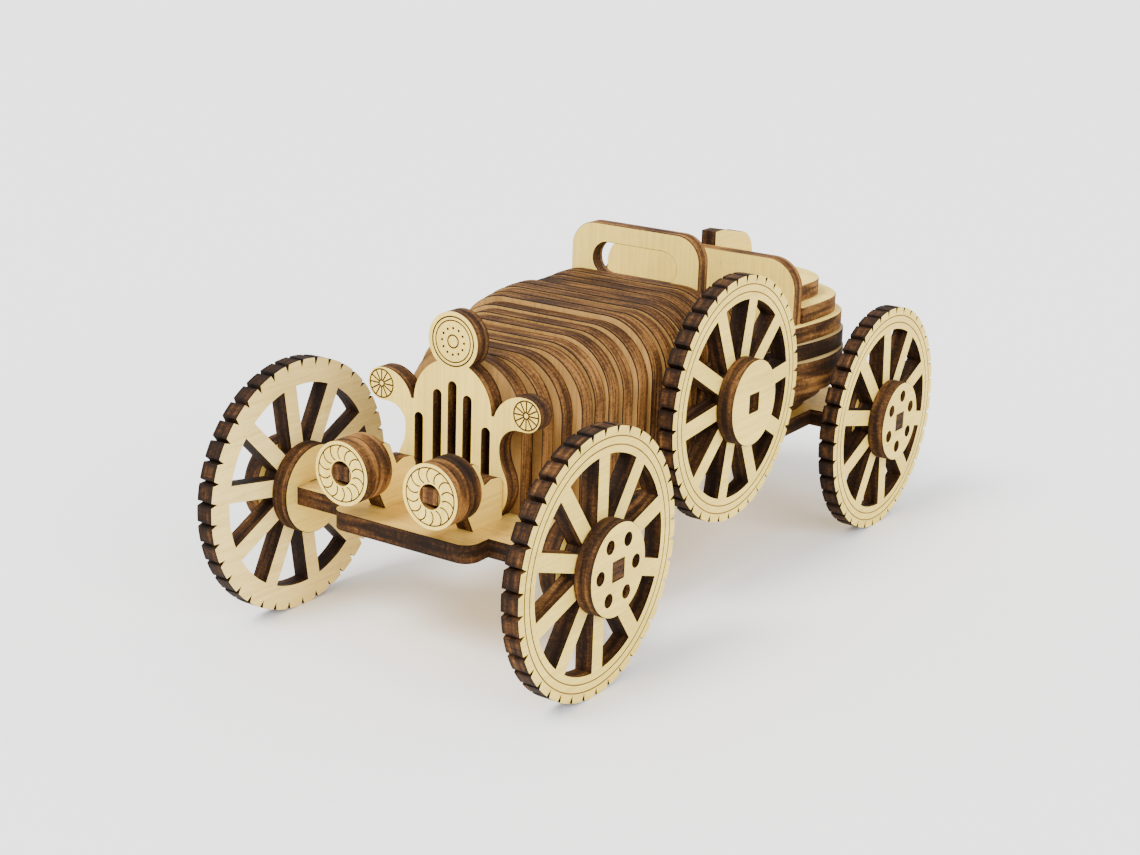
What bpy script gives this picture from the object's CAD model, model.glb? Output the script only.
import math
import random

import bpy
from mathutils import Matrix, Vector


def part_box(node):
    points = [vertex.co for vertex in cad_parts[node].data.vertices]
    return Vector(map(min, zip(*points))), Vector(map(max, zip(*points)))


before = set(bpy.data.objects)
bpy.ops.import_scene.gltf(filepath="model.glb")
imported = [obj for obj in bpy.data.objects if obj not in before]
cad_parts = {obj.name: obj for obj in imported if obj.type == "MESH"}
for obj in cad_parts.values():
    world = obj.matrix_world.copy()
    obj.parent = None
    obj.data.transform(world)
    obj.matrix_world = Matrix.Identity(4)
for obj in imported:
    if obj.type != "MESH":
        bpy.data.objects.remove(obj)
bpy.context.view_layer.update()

MM = 0.001          # one millimetre; the scene is in metres
TO_MM = 1000.0


# ---- colours and measures of the wood ----------------------------------------

# Uncut faces: the dark and the light end of the grain
PALE = ((0.58, 0.40, 0.074), (0.86, 0.64, 0.142))
BUFF = ((0.62, 0.44, 0.13), (0.90, 0.71, 0.255))
TAN = ((0.20, 0.100, 0.026), (0.41, 0.23, 0.070))
GOLD = ((0.54, 0.33, 0.064), (0.82, 0.55, 0.122))
CREAM = ((0.52, 0.355, 0.062), (0.76, 0.56, 0.120))
DULL = ((0.25, 0.170, 0.058), (0.38, 0.27, 0.100))
PORE = (0.26, 0.13, 0.04, 1)
STAIN = (0.20, 0.105, 0.032, 1)

# Burnt edges, each with its place between the darkest and the lightest
BURNS = [(0.0, (0.004, 0.0020, 0.0011)), (0.36, (0.017, 0.0068, 0.0022)),
         (0.62, (0.064, 0.0255, 0.0068)), (1.0, (0.25, 0.115, 0.029))]

# Floors of the engraved lines
WHEEL_LINE = (0.27, 0.15, 0.045, 1)
LAMP_LINE = (0.07, 0.03, 0.010, 1)

FACE_DEPTH = 0.06 * MM      # how deep below a sheet's outer plane still counts as its uncut face
LEVEL = 0.9                 # how closely a normal follows the sheet's axis on a face or a line's floor
ROUGH_EDGE, ROUGH_FACE = 0.75, 0.50
SPECULAR = 0.12
FACE_RELIEF = 0.2           # height of the grain on a face; a burnt edge has 1
BUMP_STRENGTH, BUMP_HEIGHT = 0.6, 0.14 * MM

# Noise waves per millimetre, along and across the grain
FIBRES = (0.05, 1.6)
CLOUDS = (0.03, 0.10)
PORES = (0.35, 5.0)
# The same across and along a cut edge
CHAR = (1.4, 2.6)
STREAK_RUN = 0.11

PATTERN_SHIFT = 40          # millimetres; moves each piece's pattern by chance
GRAIN_WANDER = 0.06         # radians; turns each piece's grain by chance

# Wheels
NOTCHES = 38
TREAD_FLOOR = 20.25         # millimetres; beyond this radius an edge belongs to a tread block
BLOCK_GLOW = 0.26           # how much lighter the middle of a tread block is
SPOKE_GLOW = 0.55           # the same for the spokes' walls, as a share of it
WHOLE_BLOCKS = 1000.0       # a whole number added to the count of blocks, to keep it above zero
# The turn of each wheel at rest, in degrees, which places its tread blocks
WHEEL_TURNS = {"wheel_front_left": 90, "wheel_rear_left": 85, "wheel_front_right": 81,
               "wheel_rear_right": 100, "spare_wheel": 102}

# How light the burnt edge of each tail layer is, top layer first
TAIL_EDGES = (0.19, 0.23, 0.00, -0.12, 0.09, 0.09, 0.05, 0.00)
PALE_TAIL_LAYERS = 3        # the layers below these have duller faces

# Turns of the grain within the sheet: degrees for upright lengthwise sheets, radians for flat ones
UPRIGHT_TURNS = (0, 20, -15, 35)
FLAT_TURN = 0.12

ENGRAVED = ("wheel", "spare_wheel", "grille", "headlamp_front")


# ---- shader building blocks --------------------------------------------------

class Tree:
    """Short names for adding and joining the nodes of one material."""

    def __init__(self, name):
        self.material = bpy.data.materials.new(name)
        self.material.use_nodes = True
        self.nodes = self.material.node_tree.nodes
        self.links = self.material.node_tree.links
        self.shader = self.nodes["Principled BSDF"]

    def put(self, socket, value):
        """Links another node's output to a socket, or sets the socket's own value."""
        if isinstance(value, bpy.types.NodeSocket):
            self.links.new(value, socket)
        else:
            socket.default_value = value

    def add(self, kind, inputs=(), **settings):
        node = self.nodes.new(kind)
        for key, value in settings.items():
            setattr(node, key, value)
        for key, value in dict(inputs).items():
            self.put(node.inputs[key], value)
        return node

    def math(self, operation, a, b=0.0):
        return self.add("ShaderNodeMath", {0: a, 1: b}, operation=operation).outputs[0]

    def plus(self, a, b):
        return self.math("ADD", a, b)

    def minus(self, a, b):
        return self.math("SUBTRACT", a, b)

    def times(self, a, b):
        return self.math("MULTIPLY", a, b)

    def gap(self, a, b):
        """The distance between two values."""
        return self.math("ABSOLUTE", self.minus(a, b))

    def over(self, value, limit):
        return self.math("GREATER_THAN", value, limit)

    def swing(self, noise, amount):
        """A noise centred on zero and scaled."""
        return self.times(self.minus(noise, 0.5), amount)

    def fit(self, value, low, high, to_low=0.0, to_high=1.0):
        """Maps low..high to to_low..to_high and clamps."""
        return self.add("ShaderNodeMapRange", {0: value, 1: low, 2: high, 3: to_low, 4: to_high}).outputs[0]

    def noise(self, place, scale, detail, roughness=0.5, distortion=0.0):
        return self.add("ShaderNodeTexNoise", {"Vector": place, "Scale": scale, "Detail": detail,
                                               "Roughness": roughness, "Distortion": distortion}).outputs[0]

    def stretch(self, place, factors, turn=(0.0, 0.0, 0.0), shift=(0.0, 0.0, 0.0)):
        return self.add("ShaderNodeMapping", {"Vector": place, "Scale": factors, "Rotation": turn,
                                              "Location": shift}).outputs[0]

    def split(self, vector):
        return self.add("ShaderNodeSeparateXYZ", {0: vector}).outputs

    def mix(self, factor, a, b):
        node = self.add("ShaderNodeMix", {"Factor": factor}, data_type="RGBA")
        self.put(node.inputs[6], a)
        self.put(node.inputs[7], b)
        return node.outputs[2]

    def ramp(self, value, stops):
        node = self.add("ShaderNodeValToRGB", {0: value})
        elements = node.color_ramp.elements
        while len(elements) < len(stops):
            elements.new(0.5)
        for element, (position, colour) in zip(elements, stops):
            element.position = position
            element.color = (*colour, 1)
        return node.outputs[0]


def along(axis, value, other):
    """A vector with one value along an axis and another across it."""
    return tuple(value if i == axis else other for i in range(3))


# ---- plywood -----------------------------------------------------------------

def face_paint(t, place, turn, face, style):
    """Fine straight grain over slow clouds of colour, with a few short pores and brown stains."""
    grain = style["grain"]
    fibres = t.noise(t.stretch(place, along(grain, *FIBRES), turn=turn), 1.0, detail=4.0, roughness=0.6)
    cloud = t.noise(t.stretch(place, along(grain, *CLOUDS), turn=turn), 1.0, detail=2.0)
    speckle = t.noise(place, 2.4, detail=2.0)
    tone = t.plus(t.plus(t.times(fibres, 0.5), t.times(cloud, 0.35)), t.times(speckle, 0.15))
    colour = t.ramp(t.fit(tone, 0.32, 0.68), [(0.0, face[0]), (1.0, face[1])])
    pores = t.noise(t.stretch(place, along(grain, *PORES), turn=turn), 1.0, detail=1.0)
    colour = t.mix(t.fit(pores, 0.64, 0.74, 0.0, 0.25), colour, PORE)
    smoke = t.noise(place, 0.09, detail=3.0, roughness=0.6, distortion=0.4)
    return t.mix(t.fit(smoke, 0.46, 0.66, 0.0, style["smoke"]), colour, STAIN), fibres


def edge_heat(t, place, axis, depth, style):
    """How light a cut edge is: plies, long scorched streaks, a rough charred skin and dark seams."""
    wobble = t.swing(t.noise(place, 0.3, detail=2.0), 0.2)
    plies = t.fit(t.gap(t.plus(depth, wobble), 0.5), 0.13, 0.20, -0.5 * style["ply"], 0.5 * style["ply"])
    seam = t.fit(t.gap(depth, 0.5), 0.43, 0.465, 0.0, -style["seam"])
    streaks = t.noise(t.stretch(place, along(axis, style["fine"], STREAK_RUN)), 1.0, detail=5.0,
                      roughness=0.62)
    char = t.noise(t.stretch(place, along(axis, *CHAR)), 1.0, detail=4.0, roughness=0.7, distortion=0.6)
    patches = t.noise(place, 0.10, detail=1.0)
    heat = t.plus(t.swing(streaks, style["streak"]), plies)
    heat = t.plus(heat, t.swing(char, 0.8))
    heat = t.plus(heat, t.swing(patches, style["patch"]))
    return t.plus(heat, seam), t.plus(streaks, char)


def tread_glow(t, spot, depth, centre, phase):
    """Lightens the middle of each tread block, and the spokes' walls."""
    out = t.minus(t.times(spot[1], TO_MM), centre[0])
    up = t.minus(t.times(spot[2], TO_MM), centre[1])
    radius = t.math("SQRT", t.plus(t.times(out, out), t.times(up, up)))
    blocks = t.times(t.math("ARCTAN2", up, out), NOTCHES / (2 * math.pi))
    place_in_block = t.math("FRACT", t.plus(blocks, WHOLE_BLOCKS - phase * NOTCHES / 360))
    from_notch = t.minus(0.5, t.gap(place_in_block, 0.5))
    along_block = t.fit(from_notch, 0.12, 0.30)
    across_block = t.fit(t.gap(depth, 0.5), 0.22, 0.46, 1.0, 0.0)
    on_tread = t.over(radius, TREAD_FLOOR)
    block = t.times(t.times(along_block, across_block), on_tread)
    return t.math("MAXIMUM", block, t.times(t.minus(1.0, on_tread), SPOKE_GLOW))


def plywood(node, axis, low, high, style, seed):
    """Pale sheet faces with fine grain; cut edges and engraved lines burnt brown, with the plies showing."""
    rng = random.Random(seed)
    t = Tree("plywood_" + node)
    coords = t.add("ShaderNodeTexCoord").outputs["Object"]
    shift = tuple(rng.uniform(-PATTERN_SHIFT, PATTERN_SHIFT) for _ in range(3))
    place = t.stretch(coords, (TO_MM, TO_MM, TO_MM), shift=shift)
    spot = t.split(coords)

    # an uncut face lies in the sheet's outer plane; the floor of an engraved line is level but deeper
    from_middle = t.gap(spot[axis], (low[axis] + high[axis]) / 2)
    at_face = t.over(from_middle, (high[axis] - low[axis]) / 2 - FACE_DEPTH)
    true_normal = t.add("ShaderNodeNewGeometry").outputs["True Normal"]
    local = t.split(t.add("ShaderNodeVectorTransform", {0: true_normal}, vector_type="NORMAL",
                          convert_from="WORLD", convert_to="OBJECT").outputs[0])
    is_level = t.over(t.math("ABSOLUTE", local[axis]), LEVEL)
    is_face = t.times(at_face, is_level)

    turn = along(axis, rng.uniform(-GRAIN_WANDER, GRAIN_WANDER) + style["turn"], 0.0)
    shade = 1.1 - rng.random() * style["tint"]
    face = [[channel * shade for channel in colour] for colour in style["face"]]
    face_colour, fibres = face_paint(t, place, turn, face, style)

    depth = t.fit(spot[axis], low[axis], high[axis])
    heat, skin = edge_heat(t, place, axis, depth, style)
    heat = t.plus(heat, style["edge"] + rng.uniform(-1, 1) * style["vary"])
    heat = t.plus(heat, t.fit(local[2], 0.5, 0.95, 0.0, -style["top"]))
    if node in WHEEL_TURNS:
        centre = [(low[i] + high[i]) / 2 / MM for i in (1, 2)]
        glow = tread_glow(t, spot, depth, centre, 180 - WHEEL_TURNS[node])
        heat = t.plus(heat, t.times(glow, BLOCK_GLOW))
    edge_colour = t.mix(is_level, t.ramp(t.fit(heat, -0.5, 0.5), BURNS), style["line"])

    t.put(t.shader.inputs["Base Color"], t.mix(is_face, edge_colour, face_colour))
    t.put(t.shader.inputs["Roughness"], t.fit(is_face, 0.0, 1.0, ROUGH_EDGE, ROUGH_FACE))
    t.put(t.shader.inputs["Specular IOR Level"], SPECULAR)
    relief = t.plus(t.times(t.times(fibres, is_face), FACE_RELIEF), t.times(skin, t.minus(1.0, is_face)))
    bump = t.add("ShaderNodeBump", {"Strength": BUMP_STRENGTH, "Distance": BUMP_HEIGHT, "Height": relief})
    t.put(t.shader.inputs["Normal"], bump.outputs[0])
    return t.material


def sheet_axis(low, high):
    """The axis along which the sheet is thinnest; a square bar counts as lying flat."""
    spans = [high[i] - low[i] for i in range(3)]
    return max(i for i in range(3) if spans[i] < min(spans) + 0.05 * MM)


def style_of(node, axis):
    """The looks of one piece; an edge's lightness and the contrasts are parts of the burn scale."""
    style = {
        "face": PALE,       # colours of the uncut faces
        "tint": 0.0,        # how much darker a face may come out by chance
        "smoke": 0.08,      # strength of the brown stains on a face
        "line": LAMP_LINE,  # colour of the engraved lines
        "edge": 0.0,        # lightness of the burnt edges
        "vary": 0.04,       # how much that lightness changes by chance
        "top": 0.0,         # how much darker an edge is where it faces up
        "ply": 0.12,        # contrast of the plies
        "seam": 0.20,       # darkness of the line where an edge meets a face
        "fine": 1.1,        # streaks across the sheet's thickness, in waves per millimetre
        "streak": 1.2,      # contrast of the streaks
        "patch": 0.7,       # contrast of the large patches
        "grain": 2,         # the axis that the grain follows
        "turn": 0.0,        # turn of the grain within the sheet, in radians
    }
    if node.startswith(("bonnet", "grille_backing", "cowl")):
        style.update(face=TAN, edge=0.25, vary=0.07, ply=0.04, seam=0.75, fine=2.3, streak=1.5, patch=0.6,
                     smoke=0.40, top=0.14, tint=0.42)
    elif node.startswith("tail_layer"):
        layer = int(node[-1])
        style.update(face=PALE if layer <= PALE_TAIL_LAYERS else DULL, edge=TAIL_EDGES[layer - 1],
                     vary=0.03, seam=0.05, ply=0.08, patch=1.2, smoke=0.20)
    elif node.startswith("headlamp"):
        style.update(edge=0.16, vary=0.04, ply=0.18, patch=1.8)
    elif node in ("seat_back", "windscreen"):
        style.update(face=CREAM, edge=0.16, vary=0.04, ply=0.16, patch=1.0)
    elif node == "chassis":
        style.update(face=GOLD, edge=-0.12, smoke=0.75)
    elif node.startswith(("hub", "spare_cap", "spare_disc")):
        style.update(edge=-0.04, vary=0.06)
    elif node.startswith("lamp_bracket"):
        style.update(edge=0.10)
    elif node in ("wheel_front_right", "wheel_rear_right"):
        style.update(face=BUFF, edge=-0.36, line=WHEEL_LINE)
    elif node in WHEEL_TURNS:
        style.update(edge=-0.28, line=WHEEL_LINE, top=-0.17 if node == "wheel_front_left" else 0.0)
    if axis == 0:
        choice = sum(map(ord, node)) % len(UPRIGHT_TURNS)
        style.update(grain=1, turn=math.radians(UPRIGHT_TURNS[choice]))
    elif axis == 2:
        style.update(grain=0, turn=FLAT_TURN)
    return style


def soften(piece):
    """Joins the imported facets; pieces with no engraving get a thin scorched chamfer on their cut edges."""
    weld = piece.modifiers.new("weld", "WELD")
    weld.merge_threshold = 0.002 * MM
    if piece.name.startswith(ENGRAVED):
        return
    chamfer = piece.modifiers.new("chamfer", "BEVEL")
    chamfer.width = 0.12 * MM
    chamfer.segments = 1
    chamfer.limit_method = "ANGLE"
    chamfer.angle_limit = math.radians(40)
    chamfer.use_clamp_overlap = True


for index, (name, piece) in enumerate(sorted(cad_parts.items())):
    low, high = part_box(name)
    axis = sheet_axis(low, high)
    material = plywood(name, axis, low, high, style_of(name, axis), index)
    for slot in piece.material_slots:
        slot.material = material
    soften(piece)


# ---- floor and light ---------------------------------------------------------

FLOOR_SIZE = 40             # metres, so that its edge lies near the horizon
WORLD_STRENGTH = 1.5

bpy.ops.mesh.primitive_plane_add(size=FLOOR_SIZE, location=(0, 0, 0))
floor = bpy.context.object
floor.name = "floor"
paper = Tree("floor_paper")
paper.put(paper.shader.inputs["Base Color"], (0.93, 0.93, 0.93, 1))
paper.put(paper.shader.inputs["Roughness"], 0.9)
floor.data.materials.append(paper.material)

world = bpy.data.worlds.new("studio")
world.use_nodes = True
sky = world.node_tree.nodes["Background"]
sky.inputs[0].default_value = (1.0, 1.0, 1.0, 1)
sky.inputs[1].default_value = WORLD_STRENGTH
bpy.context.scene.world = world


def backward(azimuth, elevation):
    """The way back to an eye or a light, from degrees; azimuth 0 looks along +Y, 90 along -X."""
    a, e = math.radians(azimuth), math.radians(elevation)
    return Vector((math.sin(a) * math.cos(e), -math.cos(a) * math.cos(e), math.sin(e)))


def soft_sun(name, azimuth, elevation, strength, spread):
    """An even, soft light; spread is its apparent size in degrees."""
    back = backward(azimuth, elevation)
    light = bpy.data.lights.new(name, "SUN")
    light.energy = strength
    light.angle = math.radians(spread)
    lamp = bpy.data.objects.new(name, light)
    lamp.location = back
    lamp.rotation_euler = (-back).to_track_quat("-Z", "Y").to_euler()
    bpy.context.collection.objects.link(lamp)


soft_sun("key", -15, 50, 4.3, 25)
soft_sun("fill", 65, 30, 2.9, 40)


# ---- camera, fitted to the photograph's view ----------------------------------

IMAGE_WIDTH = 1140          # pixels
FOCAL_LENGTH = 1950.7       # pixels
SENSOR = 36.0               # millimetres
EYE = (174.8, -275.94, 124.86)          # millimetres
EYE_AZIMUTH, EYE_ELEVATION, EYE_ROLL = 33.08, 16.96, 2.0        # degrees

camera = bpy.data.cameras.new("camera")
camera.sensor_width = SENSOR
camera.lens = FOCAL_LENGTH / IMAGE_WIDTH * SENSOR
camera.shift_x = -0.0120
camera.shift_y = -0.0037
camera.clip_start = 0.01
camera.clip_end = 20
eye = bpy.data.objects.new("camera", camera)
eye.location = Vector(EYE) * MM
eye.rotation_mode = "QUATERNION"
level = (-backward(EYE_AZIMUTH, EYE_ELEVATION)).to_track_quat("-Z", "Y").to_matrix()
roll = Matrix.Rotation(math.radians(EYE_ROLL), 3, "Z")
eye.rotation_quaternion = (level @ roll).to_quaternion()
bpy.context.collection.objects.link(eye)
bpy.context.scene.camera = eye

bpy.context.view_layer.update()
